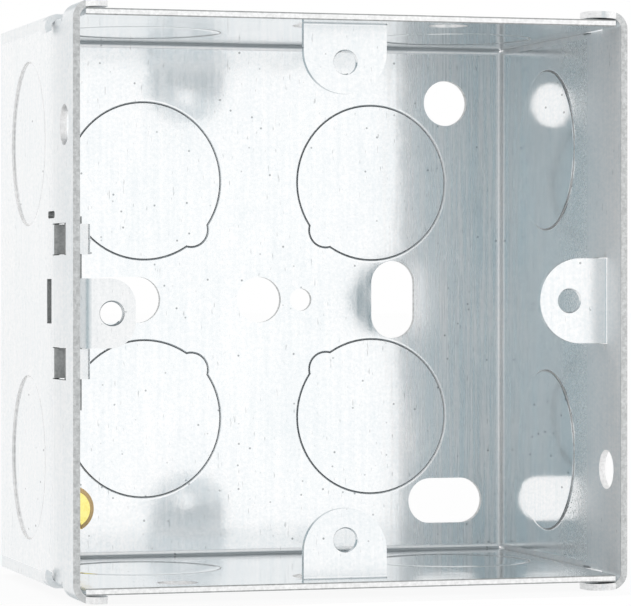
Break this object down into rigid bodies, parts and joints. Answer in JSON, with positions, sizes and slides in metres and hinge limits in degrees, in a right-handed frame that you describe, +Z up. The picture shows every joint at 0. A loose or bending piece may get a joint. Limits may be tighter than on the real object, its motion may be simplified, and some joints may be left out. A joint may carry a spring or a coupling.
{
  "type": "metal back box",
  "caption": "Square open-fronted wall box folded from galvanised sheet, with knockouts, fixed lugs, a sliding adjustable lug and an earth screw, to hold a wiring accessory.",
  "frame": {"origin": "centre of the bounding box, half way between the front edge and the rear face", "axes": "+Y from the open front to the rear face, +Z up as the box sits in the wall, +X to the right seen from the front"},
  "size_m": [0.0748, 0.047, 0.0742],
  "materials": {
    "galvanised_sheet": "bright pre-galvanised, almost mirror smooth, fine rolling streaks and grain",
    "lug_steel": "bright zinc plated",
    "screw_brass": "machined"
  },
  "bodies": {
    "box": {"box_body": "galvanised_sheet", "earth_screw": "screw_brass"},
    "lug": {"adjustable_lug": "lug_steel"}
  },
  "joints": [
    {"name": "lug_slide", "type": "slide", "parent": "box", "child": "lug", "axis": [0, 0, 1], "range_m": [0, 0.00295]}
  ]
}
